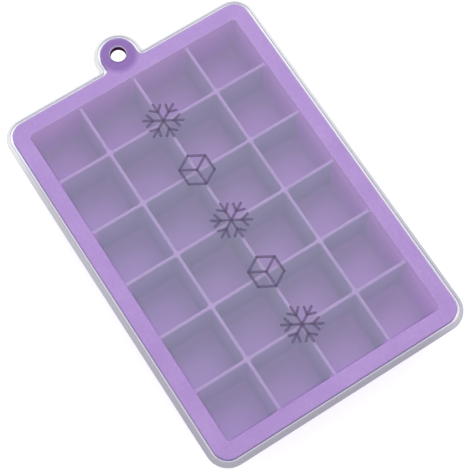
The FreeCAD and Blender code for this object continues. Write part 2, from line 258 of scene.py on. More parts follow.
def rounded_edge(top, bottom, upper, lower, steps_up, steps_down, strip=STRIP):
    """Outset and height down the upright edge of a plate, rounded by the radii upper and lower.

    The outset is 0 on the upright face and negative over the plate.
    """
    cos_up, sin_up = quarter(steps_up, 90, 0)
    cos_down, sin_down = quarter(steps_down, 0, -90)
    outset = np.concatenate([
        [-upper - strip], upper * cos_up - upper, lower * cos_down - lower, [-lower - strip],
    ])
    levels = np.concatenate([
        [top], top - upper + upper * sin_up, bottom + lower + lower * sin_down, [bottom],
    ])
    return outset, levels


# meshes


def skin(rings):
    """Vertices and quads of surfaces that join each closed ring to the next.

    The rings lie along the third axis from last, and any axes before it count the surfaces.
    """
    rings = rings.reshape((-1,) + rings.shape[-3:])
    pieces, levels, around, _ = rings.shape
    number = np.arange(pieces * levels * around).reshape(pieces, levels, around)
    ahead = np.roll(number, -1, axis=2)
    quads = np.stack([number[:, :-1], ahead[:, :-1], ahead[:, 1:], number[:, 1:]], axis=-1)
    return rings.reshape(-1, 3), quads.reshape(-1, 4)


def joined(skins):
    """Several skins as one list of vertices and one of quads."""
    starts = np.cumsum([0] + [len(points) for points, _ in skins[:-1]])
    points = np.concatenate([points for points, _ in skins])
    quads = np.concatenate([quads + start for start, (_, quads) in zip(starts, skins)])
    return points, quads


def new_shape(name, points, faces):
    """A new mesh and the editable shape that holds its points and faces."""
    mesh = bpy.data.meshes.new(name)
    mesh.from_pydata(points, [], faces)
    shape = bmesh.new()
    shape.from_mesh(mesh)
    return mesh, shape


def finish_shape(mesh, shape):
    """Turns the faces outward, writes the shape back to its mesh and shades the mesh smooth."""
    bmesh.ops.recalc_face_normals(shape, faces=shape.faces)
    shape.to_mesh(mesh)
    shape.free()
    mesh.shade_smooth()


def closed_mesh(name, skins):
    """One closed mesh: the skins, merged where their rings meet, with flat faces over the openings left.

    The openings lie in level planes. Each plane's loops are filled together, so a hole stays a hole.
    """
    points, quads = joined(skins)
    mesh, shape = new_shape(name, points.tolist(), quads.tolist())
    bmesh.ops.remove_doubles(shape, verts=shape.verts, dist=MERGE_WITHIN)
    openings = {}
    for edge in shape.edges:
        if edge.is_boundary:
            openings.setdefault(round(edge.verts[0].co.z / MM, 2), []).append(edge)
    for edges in openings.values():
        bmesh.ops.triangle_fill(shape, use_beauty=True, edges=edges, normal=(0, 0, 1))
    loose = [edge for edge in shape.edges if not edge.is_manifold]
    if loose:
        raise RuntimeError(f"{name} is open along {len(loose)} edges, the first at {loose[0].verts[0].co[:]}")
    finish_shape(mesh, shape)
    mesh.set_sharp_from_angle(angle=math.radians(SHARP_ABOVE))
    return mesh


def place_piece(name, mesh, material, replaces=()):
    """Puts a mesh into the scene as a piece that rides on the root body."""
    piece = bpy.data.objects.new(name, mesh)
    bpy.context.scene.collection.objects.link(piece)
    mesh.materials.append(material)
    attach(piece, "root")
    if replaces:
        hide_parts(*replaces)


# the tray


def mouths(tray):
    """Low and high edges of the cells' mouths and the borders of their tiles, for X and then for Y.

    All are measured from the middle of the field.
    """
    edges = []
    for count, edge_size in ((tray.columns, tray.edge_width), (tray.rows, tray.edge_length)):
        lines = (np.arange(count + 1) - count / 2) * tray.pitch
        reach = (count / 2 - 1) * tray.pitch + tray.divider / 2 + edge_size
        low, high = lines[:-1] + tray.divider / 2, lines[1:] - tray.divider / 2
        low[0], high[-1] = -reach, reach
        edges.append((low, high, lines))
    return edges


def field_half(tray):
    """Half the size of the field of cells along X and Y."""
    return np.array([high[-1] for _, high, _ in mouths(tray)])


def opening_half(tray):
    """Half the size of the rim's opening along X and Y."""
    return field_half(tray) + tray.ledge


def rim_half(tray):
    """Half the size of the rim's outline along X and Y, without the tab."""
    return opening_half(tray) + tray.rim


def field_centre(tray):
    """The middle of the field of cells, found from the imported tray's near edge."""
    return np.array([0.0, TRAY_LOW.y + rim_half(tray)[1]])


def tab_centre(tray):
    """The middle of the tab's round head and of the hanging hole."""
    return field_centre(tray) + np.array([0.0, rim_half(tray)[1] + tray.tab_reach])


def tiles(tray, outer):
    """The rectangles of all tiles: low and high corners, with the field's outer sides at outer."""
    sides = []
    for (_, _, lines), end in zip(mouths(tray), outer):
        low, high = lines[:-1].copy(), lines[1:].copy()
        low[0], high[-1] = -end, end
        sides.append((low, high))
    low = np.stack(np.meshgrid(sides[0][0], sides[1][0]), axis=-1)
    high = np.stack(np.meshgrid(sides[0][1], sides[1][1]), axis=-1)
    return low, high


def outer_corner_flags(tray):
    """1 at the four outer corners of the whole field and 0 at every other corner of a tile."""
    flags = np.zeros((tray.rows, tray.columns, 4))
    flags[0, 0, 0] = flags[0, -1, 1] = flags[-1, -1, 2] = flags[-1, 0, 3] = 1
    return flags


def drawn_in(tray, low, high, outer, inner):
    """The tiles' rectangles with each side drawn in: by outer on the field's border and by inner elsewhere.

    There is one rectangle for each number in outer and inner. 1 marks a side on the border: at_low for the
    sides at low X and Y, at_high for the others.
    """
    at_low = np.zeros((tray.rows, tray.columns, 1, 2))
    at_high = np.zeros((tray.rows, tray.columns, 1, 2))
    at_low[:, 0, :, 0] = at_low[0, :, :, 1] = 1
    at_high[:, -1, :, 0] = at_high[-1, :, :, 1] = 1
    low = low[:, :, None] + at_low * outer[:, None] + (1 - at_low) * inner[:, None]
    high = high[:, :, None] - at_high * outer[:, None] - (1 - at_high) * inner[:, None]
    return low, high


def shrunk(low, high, shares):
    """Rectangles drawn towards their middles, once for each share."""
    middle = (low + high) / 2
    return low * (1 - shares) + middle * shares, high * (1 - shares) + middle * shares


def field_border(rings, per_side):
    """The outer border of the field as one closed ring, picked from the tiles' own border rings."""
    sides = [
        rings[0, :, :per_side],
        rings[:, -1, per_side:2 * per_side],
        rings[-1, ::-1, 2 * per_side:3 * per_side],
        rings[::-1, 0, 3 * per_side:],
    ]
    ring = np.concatenate([side.reshape(-1, 2) for side in sides])
    apart = np.linalg.norm(ring - np.roll(ring, -1, axis=0), axis=1) > MERGE_WITHIN
    return ring[apart]


def spread(ring, centre, half, radius, distances):
    """A rounded rectangle's ring moved out along its normals, once for each distance."""
    core = np.asarray(half) - radius
    offset = ring - centre
    inner = np.clip(offset, -core, core)
    normal = (offset - inner) / radius
    return centre + inner + normal * (radius + np.asarray(distances))[:, None, None]


def cell_profile(tray, top):
    """Inset, height and corner radius down a cell from the top of the divider to the edge of the flat floor.

    The wall is a straight line that leans in by the slope. The rounding at the mouth and the one at the floor
    are arcs tangent to that line and to the level faces.
    """
    depth = top - tray.floor
    slope = math.atan2(tray.lean, depth)
    sine, cosine = math.sin(slope), math.cos(slope)
    cos_top, sin_top = quarter(5, 90, math.degrees(slope))
    mouth_inset = -tray.mouth_round * (1 - sine) / cosine + tray.mouth_round * cos_top
    mouth_height = top - tray.mouth_round + tray.mouth_round * sin_top
    cos_foot, sin_foot = quarter(6, math.degrees(slope), 90)
    foot_inset = (depth * sine + tray.floor_round * (1 - sine)) / cosine - tray.floor_round * cos_foot
    foot_height = tray.floor + tray.floor_round - tray.floor_round * sin_foot
    crowded_at_top = 1.6
    down = np.linspace(0, 1, 7)[1:-1] ** crowded_at_top
    wall_inset = mouth_inset[-1] + (foot_inset[0] - mouth_inset[-1]) * down
    wall_height = mouth_height[-1] + (foot_height[0] - mouth_height[-1]) * down
    mouth_corner = tray.mouth_corner - mouth_inset
    wall_corner = mouth_corner[-1] + (tray.foot_corner - mouth_corner[-1]) * down
    foot_corner = tray.foot_corner - (foot_inset - foot_inset[0])
    return (np.concatenate([mouth_inset, wall_inset, foot_inset]),
            np.concatenate([mouth_height, wall_height, foot_height]),
            np.concatenate([mouth_corner, wall_corner, foot_corner]))


def outer_profile(tray, top, inset, height):
    """Inset down the outer side of an outer cell: the wall's line, which curves out to the rim near its top.

    The curve is a smooth step from the ledge's width to nothing. The first ring stays clear of the border.
    """
    curve_depth, clear_of_border = 3.6 * MM, 0.04 * MM
    straight = (top - height) * tray.lean / (top - tray.floor)
    depth = np.clip((top - height) / curve_depth, 0, 1)
    curve = tray.ledge * (1 - depth ** 2 * (3 - 2 * depth))
    above_foot = height > tray.floor + tray.floor_round
    line = np.where(above_foot, straight - curve, inset)
    line[0] += clear_of_border
    return line


def tray_upper(tray, arc_steps=4, side_steps=8, step_round=0.45 * MM):
    """The cells with their dividers and the step up to the rim's inner edge.

    A ring of a cell is its mouth's rounded rectangle drawn in by the profile's inset, at the profile's
    height. Across the flat floor it shrinks to its middle. The step is the field's border moved out along a
    quarter circle.
    """
    centre, top = field_centre(tray), TRAY_HIGH.z - tray.drop
    opening = opening_half(tray)
    tile_low, tile_high = tiles(tray, opening)
    (low_x, high_x, _), (low_y, high_y, _) = mouths(tray)
    mouth_low = np.stack(np.meshgrid(low_x, low_y), axis=-1)
    mouth_high = np.stack(np.meshgrid(high_x, high_y), axis=-1)
    inset, height, corner = cell_profile(tray, top)
    outer = outer_profile(tray, top, inset, height)
    low, high = drawn_in(tray, mouth_low, mouth_high, outer, inset)
    shrink = np.array([0.12, 0.4, 0.7, 1.0])[:, None]
    floor_low, floor_high = shrunk(low[:, :, -1:], high[:, :, -1:], shrink)
    floor_corner = corner[-1] * (1 - shrink[:, 0])
    flags = outer_corner_flags(tray)
    shape = flags.shape[:2]
    corners = np.concatenate([corner, floor_corner])
    corners = np.broadcast_to(corners[:, None], shape + (len(corners), 4))
    lows = np.concatenate([tile_low[:, :, None], low, floor_low], axis=2)
    highs = np.concatenate([tile_high[:, :, None], high, floor_high], axis=2)
    corners = np.concatenate([flags[:, :, None] * tray.opening_corner, corners], axis=2)
    rings = rounded_rings(lows, highs, corners, arc_steps, side_steps) + centre
    heights = np.concatenate([[top], height, np.full(len(shrink), tray.floor)])
    border = field_border(rings[:, :, 0], 2 * arc_steps + side_steps)
    cos, sin = quarter(4, 180, 90)
    distances = np.concatenate([[0.0], step_round + step_round * cos, [step_round + STRIP]])
    levels = np.concatenate([[top], TRAY_HIGH.z - step_round + step_round * sin, [TRAY_HIGH.z]])
    step = spread(border, centre, opening, tray.opening_corner, distances)
    return [skin(raised(rings, np.broadcast_to(heights, shape + heights.shape))), skin(raised(step, levels))]


def tray_lower(tray, arc_steps=4, side_steps=6):
    """The feet below the cells with the grooves between them, the outer wall, and the cove below the rim.

    A ring of a foot is its tile's rounded rectangle drawn in by half the groove's width, which falls evenly
    up to the groove's rounded top. The wall is the field's border moved out by its lean and then along the
    cove's quarter circle.
    """
    centre, rim_bottom = field_centre(tray), TRAY_HIGH.z - tray.rim_thickness
    base_half = field_half(tray) + tray.wall - tray.wall_lean
    slope = tray.wall_lean / rim_bottom
    # radii of the groove's top, of a foot's lower edge and of a foot's corners
    apex, soft, pad_corner = 0.3 * MM, 0.7 * MM, 2.4 * MM
    cos, sin = quarter(6, 90, 0)
    round_heights = tray.base_round * (1 - sin)
    heights = np.concatenate([round_heights, np.linspace(tray.base_round, tray.groove_depth - apex, 3)[1:]])
    groove = tray.groove / 2 * (1 - heights / tray.groove_depth) + apex / 2
    groove += soft - np.sqrt(soft ** 2 - np.clip(soft - heights, 0, soft) ** 2)
    in_round = np.clip(tray.base_round - heights, 0, None)
    outer = tray.base_round - np.sqrt(tray.base_round ** 2 - in_round ** 2)
    outer += slope * (tray.groove_depth - heights)
    cos_top, sin_top = quarter(3, 0, 90)
    cap = groove[-1] * cos_top[1:]
    heights = np.concatenate([heights, tray.groove_depth - apex + apex * sin_top[1:]])
    groove, outer = np.concatenate([groove, cap]), np.concatenate([outer, np.zeros(3)])
    border_half = base_half + slope * tray.groove_depth
    tile_low, tile_high = tiles(tray, border_half)
    low, high = drawn_in(tray, tile_low, tile_high, outer, groove)
    flags = outer_corner_flags(tray)[:, :, None]
    plain_corner = pad_corner * groove / groove[0]
    wall_corner = tray.wall_corner - outer
    corners = flags * wall_corner[:, None] + (1 - flags) * plain_corner[:, None]
    shrink = np.array([1.0, 0.6, 0.06])[:, None]
    base_low, base_high = shrunk(low[:, :, :1], high[:, :, :1], shrink)
    low = np.concatenate([base_low, low], axis=2)
    high = np.concatenate([base_high, high], axis=2)
    corners = np.concatenate([corners[:, :, :1] * (1 - shrink), corners], axis=2)
    heights = np.concatenate([np.zeros(len(shrink)), heights])
    rings = rounded_rings(low, high, corners, arc_steps, side_steps) + centre
    border = field_border(rings[:, :, -1], 2 * arc_steps + side_steps)
    rise = np.linspace(tray.groove_depth, rim_bottom - tray.cove, 5)
    cos, sin = quarter(5, 180, 90)
    lean = slope * (rise - tray.groove_depth)
    distances = np.concatenate([lean, lean[-1] + tray.cove * (1 + cos[1:]), [lean[-1] + tray.cove + STRIP]])
    levels = np.concatenate([rise, rim_bottom - tray.cove + tray.cove * sin[1:], [rim_bottom]])
    wall = spread(border, centre, border_half, tray.wall_corner, distances)
    shape = tile_low.shape[:2]
    return [skin(raised(rings, np.broadcast_to(heights, shape + heights.shape))), skin(raised(wall, levels))]


def tray_edge(tray):
    """The rim's rounded outer edge with its tab, and the rounded hanging hole.

    A ring is the rim's outline or the hole's circle, moved by the rounded edge's outset at its height.
    """
    top, bottom = TRAY_HIGH.z, TRAY_HIGH.z - tray.rim_thickness
    lower_round, hole_round = 0.4 * MM, 0.35 * MM
    outset, levels = rounded_edge(top, bottom, tray.rim_round, lower_round, 5, 4)
    edge = tabbed_rings(tray, outset, tray.tab_corner - outset)
    inset, hole_levels = rounded_edge(top, bottom, hole_round, hole_round, 5, 4)
    hole = circles(tab_centre(tray), tray.hole - inset)
    return [skin(raised(edge, levels)), skin(raised(hole, hole_levels))]


# the lid


def lid_rings(tray, lid):
    """The lid's section carried round the rim's outline: plate, shoulder, skirt, lip and the inside again.

    A ring is the rim's outline moved out by the section's reach, at the section's height. The section is
    straight lines joined by quarter circles.
    """
    top, below = LID_HIGH.z, LID_LOW.z
    ceiling = TRAY_HIGH.z + lid.air
    outside, inside = lid.gap + lid.sheet, lid.gap
    cos, sin = quarter(7, 90, 0)
    shoulder = outside - lid.shoulder + lid.shoulder * cos
    shoulder_z = top - lid.shoulder + lid.shoulder * sin
    cove, edge, inner_edge, inner_round = 0.35 * MM, 0.45 * MM, 0.15 * MM, 0.3 * MM
    cos_cove, sin_cove = quarter(4, 180, 270)
    lip_top = below + lid.lip_thickness
    cos_edge, sin_edge = quarter(6, 90, -90)
    edge_z = np.where(sin_edge > 0, lip_top - edge, below + edge) + edge * sin_edge
    cos_back, sin_back = quarter(3, 270, 180)
    cos_room, sin_room = quarter(4, 0, 90)
    reach = np.concatenate([
        [shoulder[0] - STRIP], shoulder, outside + cove + cove * cos_cove,
        outside + lid.lip - edge + edge * cos_edge,
        inside + inner_edge + inner_edge * cos_back,
        inside - inner_round + inner_round * cos_room, [inside - inner_round - STRIP],
    ])
    levels = np.concatenate([
        [top], shoulder_z, lip_top + cove + cove * sin_cove, edge_z,
        below + inner_edge + inner_edge * sin_back,
        ceiling - inner_round + inner_round * sin_room, [ceiling],
    ])
    skirt_corner = tray.tab_corner - outside
    along_lip = np.clip((reach - outside) / lid.lip, 0, 1)
    hollow = tray.tab_corner - np.minimum(reach, outside) + (lid.lip_corner - skirt_corner) * along_lip
    return skin(raised(tabbed_rings(tray, reach, hollow), levels))


def lid_hole(tray, lid):
    """The rounded edge of the hole in the lid's plate."""
    edge_round, strip = 0.2 * MM, 0.25 * MM
    inset, levels = rounded_edge(LID_HIGH.z, TRAY_HIGH.z + lid.air, edge_round, edge_round, 3, 3, strip)
    return skin(raised(circles(tab_centre(tray), lid.hole - inset), levels))


# the raised pattern


def six_turns():
    """Cosine and sine of six even turns, the first of 30 degrees."""
    turn = np.radians(np.arange(6) * 60 + 30)
    return np.cos(turn), np.sin(turn)


def crystal_strokes():
    """Start and end of the lines of a crystal of reach 1: one arm with a pair of twigs, turned six times."""
    arm = np.array([
        [(0.0, 0.0), (1.0, 0.0)],
        [(0.52, 0.0), (0.80, 0.30)],
        [(0.52, 0.0), (0.80, -0.30)],
    ])
    cos, sin = six_turns()
    spin = np.array([[cos, -sin], [sin, cos]]).transpose(2, 0, 1)
    return np.einsum("nij,skj->nski", spin, arm).reshape(-1, 2, 2)


def cube_strokes():
    """Start and end of the lines of a cube seen from a corner: a hexagon and three lines to its middle."""
    tips = np.stack(six_turns(), axis=-1)
    rim = np.stack([tips, np.roll(tips, -1, axis=0)], axis=1)
    spokes = np.stack([tips[::2], np.zeros((3, 2))], axis=1)
    return np.concatenate([rim, spokes])


def raised_strokes(strokes, width, relief, level, cap_steps=4, across=14):
    """Points and faces of one closed bar for each line: low, rounded, with round ends, on a level plate.

    A bar is an ellipse carried along the line. Its size is constant along the line and falls as the sine of
    the angle round each end, down to one point at the tip. Its lower half is sunk a little into the plate.
    """
    sunk = 0.1 * MM
    start, end = strokes[:, 0], strokes[:, 1]
    reach = np.linalg.norm(end - start, axis=1)[:, None]
    direction = (end - start) / reach
    side = np.stack([-direction[:, 1], direction[:, 0]], axis=-1)
    cap = np.radians(np.linspace(0, 90, cap_steps + 1))
    half = width / 2
    before = np.broadcast_to(-np.cos(cap) * half, (len(strokes), len(cap)))
    place = np.concatenate([before, reach - before[:, ::-1]], axis=1)[..., None, None]
    size = np.concatenate([np.sin(cap), np.sin(cap[::-1])])[:, None]
    angle = np.arange(across) * 2 * np.pi / across
    sideways = size * half * np.cos(angle)
    upwards = size * np.where(np.sin(angle) > 0, relief, sunk) * np.sin(angle)
    flat = (start[:, None, None] + place * direction[:, None, None]
            + sideways[..., None] * side[:, None, None])
    heights = np.broadcast_to((level + upwards)[..., None], flat.shape[:-1] + (1,))
    points = np.concatenate([flat, heights], axis=-1)
    bars, levels = points.shape[0], points.shape[1] - 2
    tips = points[:, [0, -1], 0]
    points = np.concatenate([tips, points[:, 1:-1].reshape(bars, -1, 3)], axis=1)
    number = np.arange(points.shape[0] * points.shape[1]).reshape(bars, -1)
    rings = number[:, 2:].reshape(bars, levels, across)
    ahead = np.roll(rings, -1, axis=2)
    quads = np.stack([rings[:, :-1], ahead[:, :-1], ahead[:, 1:], rings[:, 1:]], axis=-1).reshape(-1, 4)
    near, far = np.broadcast_to(number[:, :2, None], (bars, 2, across)).transpose(1, 0, 2)
    ends = np.concatenate([np.stack([near, ahead[:, 0], rings[:, 0]], axis=-1),
                           np.stack([far, rings[:, -1], ahead[:, -1]], axis=-1)])
    return points.reshape(-1, 3).tolist(), quads.tolist() + ends.reshape(-1, 3).tolist()


def pattern_strokes(pattern, centre, count=5, cube_size=0.86):
    """Crystals and cubes in turn, in one row along the middle of the lid."""
    places = (np.arange(count) - (count - 1) / 2) * pattern.spacing
    figures = [crystal_strokes() if n % 2 == 0 else cube_strokes() * cube_size for n in range(count)]
    return np.concatenate([figure * pattern.reach + centre + np.array([0.0, place])
                           for figure, place in zip(figures, places)])


# materials


def new_material(name):
    """An empty node material and a function that adds nodes to it."""
    material = bpy.data.materials.new(name)
    material.use_nodes = True
    tree = material.node_tree
    tree.nodes.clear()

    def node(kind, inputs=None, **settings):
        made = tree.nodes.new(kind)
        for key, setting in settings.items():
            setattr(made, key, setting)
        for key, source in (inputs or {}).items():
            if isinstance(source, bpy.types.NodeSocket):
                tree.links.new(source, made.inputs[key])
            else:
                made.inputs[key].default_value = source
        return made

    return material, node


def solid(rgb):
    """A colour with full alpha."""
    return (*rgb, 1.0)


def worked(node, operation, *inputs):
    """The result of one step of arithmetic."""
    return node("ShaderNodeMath", dict(enumerate(inputs)), operation=operation).outputs[0]


def vector(node, operation, *inputs):
    """The outputs of one step of vector arithmetic."""
    return node("ShaderNodeVectorMath", dict(enumerate(inputs)), operation=operation).outputs


def product(node, first, *others):
    """Shares multiplied together."""
    for other in others:
        first = worked(node, "MULTIPLY", first, other)
    return first


def between(node, level, low, high, start=0.0, end=1.0):
    """start to end as a level goes from low to high, and no further beyond either."""
    return node("ShaderNodeMapRange", {"Value": level, "From Min": low, "From Max": high,
                                       "To Min": start, "To Max": end}).outputs["Result"]


def noise(node, place, scale, detail, roughness=0.5):
    """Smooth noise from 0 to 1, fixed to the object."""
    return node("ShaderNodeTexNoise", {"Vector": place, "Scale": scale, "Detail": detail,
                                       "Roughness": roughness}).outputs["Fac"]


def tinted(node, share, plain, tint):
    """A colour that goes from plain to tint as share goes from 0 to 1. Each is a socket or three numbers."""
    mix = node("ShaderNodeMix", {"Factor": share}, data_type="RGBA")
    for index, colour_in in ((6, plain), (7, tint)):
        if isinstance(colour_in, bpy.types.NodeSocket):
            mix.id_data.links.new(colour_in, mix.inputs[index])
        else:
            mix.inputs[index].default_value = solid(colour_in)
    return mix.outputs[2]


def past_window(node, place, middle, half):
    """How far a point lies outside an upright rectangular shaft, in metres, and less than zero inside it."""
    offset = vector(node, "SUBTRACT", place, (*middle, 0.0))[0]
    size = vector(node, "ABSOLUTE", offset)[0]
    beyond = vector(node, "SUBTRACT", size, (*half, 0.0))[0]
    parts = node("ShaderNodeSeparateXYZ", {"Vector": beyond})
    return worked(node, "MAXIMUM", parts.outputs["X"], parts.outputs["Y"])


def from_axis(node, place, middle):
    """How far a point lies from an upright axis, in metres."""
    flat = vector(node, "MULTIPLY", place, (1.0, 1.0, 0.0))[0]
    return vector(node, "DISTANCE", flat, (*middle, 0.0))["Value"]


def levelness(node, normal):
    """1 where a surface is level and 0 where it is upright."""
    return worked(node, "ABSOLUTE", node("ShaderNodeSeparateXYZ", {"Vector": normal}).outputs["Z"])


def silicone_material(colours, tray):
    """Satin lilac silicone: pale clouds, a fine dusty grain, and light that sinks in a little way.

    In the cells, painted light makes the floors paler and the outer walls rosier, as light shining through
    the thin silicone would, and painted shade makes the dividers' sides cooler. Painted light gives the cells
    on the right, and painted shading the cells by the tab, a trace more pink. The tab is deeper, the rim's
    outer edge carries painted shade, and the wall of the hanging hole is painted in deep shade.
    """
    material, node = new_material("lilac_silicone")
    coordinates = node("ShaderNodeTexCoord").outputs
    place, normal = coordinates["Object"], coordinates["Normal"]
    parts = node("ShaderNodeSeparateXYZ", {"Vector": place})
    height, top = parts.outputs["Z"], TRAY_HIGH.z
    clouds = noise(node, place, 38.0, 3.0, 0.55)
    speckle = noise(node, place, 620.0, 2.0, 0.6)
    mottle = worked(node, "MULTIPLY_ADD", clouds, speckle, 0.12)
    tint = tinted(node, between(node, mottle, 0.28, 0.48), colours.silicone, colours.silicone_pale)

    # masks from 0 to 1, by the way a face looks and by where a point lies
    upright = between(node, levelness(node, normal), 0.85, 0.35)
    middle = field_centre(tray)
    out = vector(node, "SUBTRACT", place, (*middle, 0.0))[0]
    outward = vector(node, "DOT_PRODUCT", normal, out)["Value"]
    inward = between(node, outward, -10 * MM, -30 * MM)
    past = past_window(node, place, middle, opening_half(tray))  # beyond the rim's inner edge
    inside = between(node, past, 0.4 * MM, -0.4 * MM)
    by_dividers = between(node, past, -1.4 * MM, -2.6 * MM)
    by_wall = between(node, past, -2.6 * MM, -1.4 * MM)
    within_wall = between(node, past, 0.6 * MM, 0.3 * MM)
    above_base = between(node, height, tray.floor - 0.3 * MM, tray.floor)
    in_cell = between(node, height, top - 0.6 * MM, top - 2.2 * MM)
    below_divider = between(node, height, top - 1.3 * MM, top - 2.2 * MM)
    step = product(node, upright, between(node, height, top - 0.1 * MM, top - 0.7 * MM))
    on_floor = product(node, above_base, between(node, height, tray.floor + 4 * MM, tray.floor + 1 * MM))
    wall_height = worked(node, "MAXIMUM", below_divider, step)
    on_wall = product(node, above_base, by_wall, within_wall, wall_height, inward)
    indoors = product(node, above_base, in_cell, inside)
    right_side = between(node, parts.outputs["X"], -46 * MM, 46 * MM)
    far_end = between(node, parts.outputs["Y"], middle[1] + 30 * MM, middle[1] + 75 * MM)
    from_hole = from_axis(node, place, tab_centre(tray))
    slant = node("ShaderNodeLayerWeight", {"Blend": 0.5}).outputs["Facing"]
    # painted shade along the rim's outer edge, stronger on faces seen slantwise
    at_edge = product(node, upright, between(node, past, 6 * MM, 6.6 * MM), between(node, slant, 0.1, 0.6))
    layers = (
        # painted light on the floors of the cells
        (product(node, on_floor, inside, 0.8), colours.silicone_floor_light),
        # painted shade on the dividers' sides
        (product(node, upright, in_cell, by_dividers), colours.silicone_divider_shade),
        # painted glow of light through the outer walls
        (on_wall, colours.silicone_wall_glow),
        # painted warm light in the cells on the right
        (product(node, indoors, on_floor, right_side, 0.18), colours.silicone_right_glow),
        # painted rosy shading in the cells by the tab
        (product(node, indoors, far_end, 0.35), colours.silicone_far_shading),
        (between(node, from_hole, 11 * MM, 8 * MM), colours.silicone_deep),
        # painted shade on the rim's outer edge
        (at_edge, colours.silicone_edge_shade),
        # painted deep shade on the hanging hole's wall
        (between(node, from_hole, tray.hole + 0.5 * MM, tray.hole + 0.15 * MM), colours.hole),
    )
    for share, layer in layers:
        tint = tinted(node, share, tint, layer)

    # no reflection on the hanging hole's wall, which keeps its painted shade dark
    shine = between(node, from_hole, tray.hole + 0.15 * MM, tray.hole + 0.5 * MM, end=0.5)
    grain = node("ShaderNodeBump", {"Height": speckle, "Strength": 0.12, "Distance": 0.08 * MM})
    wave = node("ShaderNodeBump", {"Height": clouds, "Strength": 0.25, "Distance": 0.8 * MM,
                                   "Normal": grain.outputs["Normal"]})
    body = node("ShaderNodeBsdfPrincipled", {
        "Base Color": tint, "Roughness": between(node, speckle, 0.0, 1.0, 0.42, 0.58),
        "Normal": wave.outputs["Normal"], "IOR": 1.42, "Specular IOR Level": shine,
        "Subsurface Weight": 0.12, "Subsurface Radius": (0.9, 0.55, 1.1), "Subsurface Scale": 2 * MM,
        "Sheen Weight": 0.08, "Sheen Roughness": 0.5,
    })
    node("ShaderNodeOutputMaterial", {"Surface": body.outputs[0]})
    return material


def lid_material(colours, tray, lid):
    """Clear plastic: hazy over the cells, clear over the rim, smoky along the skirt, pale on the lip.

    The lip is painted a little darker towards the near end, as painted shade, and the cut edge of the hole is
    painted milky white as a highlight. A ray that leaves the plastic passes straight out, so each sheet
    counts once.
    """
    material, node = new_material("clear_plastic")
    coordinates = node("ShaderNodeTexCoord").outputs
    place, level = coordinates["Object"], levelness(node, coordinates["Normal"])
    parts = node("ShaderNodeSeparateXYZ", {"Vector": place})
    height, top = parts.outputs["Z"], TRAY_HIGH.z
    haze = noise(node, place, 55.0, 3.0)
    scuffs = noise(node, place, 900.0, 2.0)

    on_skirt = between(node, height, top - 0.2 * MM, top - 0.9 * MM)
    sides = worked(node, "MAXIMUM", on_skirt, between(node, level, 0.97, 0.6))
    slant = node("ShaderNodeLayerWeight", {"Blend": 0.5}).outputs["Facing"]
    smoky = product(node, sides, between(node, slant, 0.0, 0.55))
    lip_top = LID_LOW.z + lid.lip_thickness
    lip_height = between(node, height, lip_top + 0.5 * MM, lip_top + 0.1 * MM)
    on_lip = product(node, between(node, level, 0.5, 0.9), lip_height)
    # painted shade: the lip darkens towards the near end
    far_end = between(node, parts.outputs["Y"], LID_LOW.y, field_centre(tray)[1] + LID_HIGH.x)
    lip_colour = tinted(node, far_end, colours.lip_near_shade, colours.lip)
    seen_through = tinted(node, on_lip, tinted(node, smoky, WHITE, colours.smoke), lip_colour)

    past = past_window(node, place, field_centre(tray), opening_half(tray))
    frost = between(node, past, 0.8 * MM, -0.8 * MM, end=0.17)
    cover = worked(node, "ADD", between(node, haze, 0.0, 1.0, 0.03, 0.06), frost)
    from_hole = from_axis(node, place, tab_centre(tray))
    # painted highlight: the cut edge of the hole is made milky white
    at_cut = between(node, from_hole, lid.hole + 0.45 * MM, lid.hole + 0.15 * MM)
    for share, change in ((smoky, 0.24), (on_lip, -0.14), (at_cut, 0.55)):
        cover = worked(node, "MULTIPLY_ADD", share, change, cover)
    entering = worked(node, "SUBTRACT", 1.0, node("ShaderNodeNewGeometry").outputs["Backfacing"])
    cover = product(node, cover, entering)

    roughness = between(node, scuffs, 0.0, 1.0, 0.1, 0.2)
    ripple = node("ShaderNodeBump", {"Height": haze, "Strength": between(node, smoky, 0.0, 1.0, 0.12, 0.0),
                                     "Distance": 0.6 * MM}).outputs["Normal"]
    clear = node("ShaderNodeBsdfTransparent", {"Color": seen_through})
    milk = node("ShaderNodeBsdfPrincipled", {
        "Base Color": solid(colours.plastic), "Roughness": roughness, "IOR": 1.49, "Normal": ripple,
    })
    shine = node("ShaderNodeBsdfGlossy", {
        "Color": solid((0.9, 0.9, 0.9)), "Roughness": roughness, "Normal": ripple,
    })
    fresnel = node("ShaderNodeFresnel", {"IOR": 1.42, "Normal": ripple})
    gloss = product(node, fresnel.outputs[0], entering)
    body = node("ShaderNodeMixShader", {0: cover, 1: clear.outputs[0], 2: milk.outputs[0]})
    whole = node("ShaderNodeMixShader", {0: gloss, 1: body.outputs[0], 2: shine.outputs[0]})
    node("ShaderNodeOutputMaterial", {"Surface": whole.outputs[0]})
    return material


def pattern_material(colours):
    """The raised lines: the same plastic, dusky where it is thick."""
    material, node = new_material("dusky_relief")
    grain = noise(node, node("ShaderNodeTexCoord").outputs["Object"], 400.0, 2.0)
    body = node("ShaderNodeBsdfPrincipled", {
        "Base Color": solid(colours.pattern), "Roughness": between(node, grain, 0.0, 1.0, 0.25, 0.4),
        "IOR": 1.49, "Alpha": between(node, grain, 0.0, 1.0, 0.46, 0.6),
    })
    node("ShaderNodeOutputMaterial", {"Surface": body.outputs[0]})
    return material


def floor_material(colours, lift=0.6):
    """A matt floor that glows for the camera, so it shows as white and keeps the object's soft shadow."""
    material, node = new_material("studio_floor")
    rays = node("ShaderNodeLightPath").outputs
    seen = worked(node, "MAXIMUM", rays["Is Camera Ray"], rays["Is Glossy Ray"])
    seen = worked(node, "MAXIMUM", seen, rays["Is Transmission Ray"])
    matt = node("ShaderNodeBsdfDiffuse", {"Color": solid(colours.floor)})
    glow = node("ShaderNodeEmission", {"Color": solid(WHITE), "Strength": product(node, seen, lift)})
    both = node("ShaderNodeAddShader", {0: matt.outputs[0], 1: glow.outputs[0]})
    node("ShaderNodeOutputMaterial", {"Surface": both.outputs[0]})
    return material


# operators


